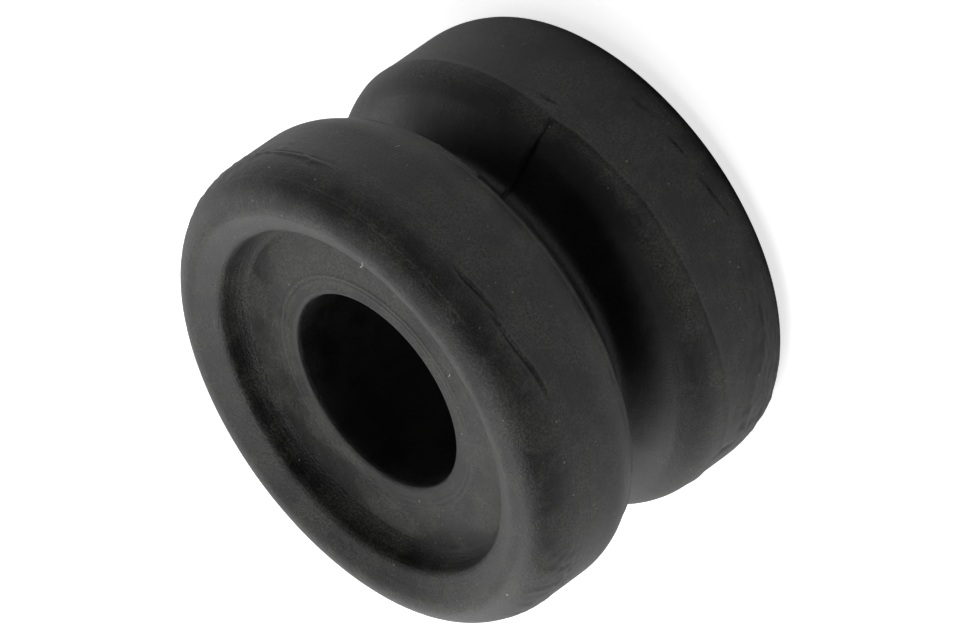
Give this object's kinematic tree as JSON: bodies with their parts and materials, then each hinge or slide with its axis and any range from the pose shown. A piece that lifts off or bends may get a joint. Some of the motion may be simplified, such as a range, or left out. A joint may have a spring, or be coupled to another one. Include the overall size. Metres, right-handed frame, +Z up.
{
  "type": "sway bar link bushing",
  "caption": "Moulded rubber spool bushing for a sway bar link: thick flanges with a V groove between them, a through bore and a recessed, crowned end face.",
  "frame": {"origin": "centre of the lower end of the bush, on its axis, at the level that it stands on", "axes": "+Z up along the bore towards the wider flange; +X along the plane in which the mould's collar was split"},
  "size_m": [0.036, 0.036, 0.0254],
  "materials": {
    "rubber": "matt moulded black rubber with a slight bloom"
  },
  "bodies": {
    "root": {"link_bushing": "rubber"}
  },
  "joints": []
}
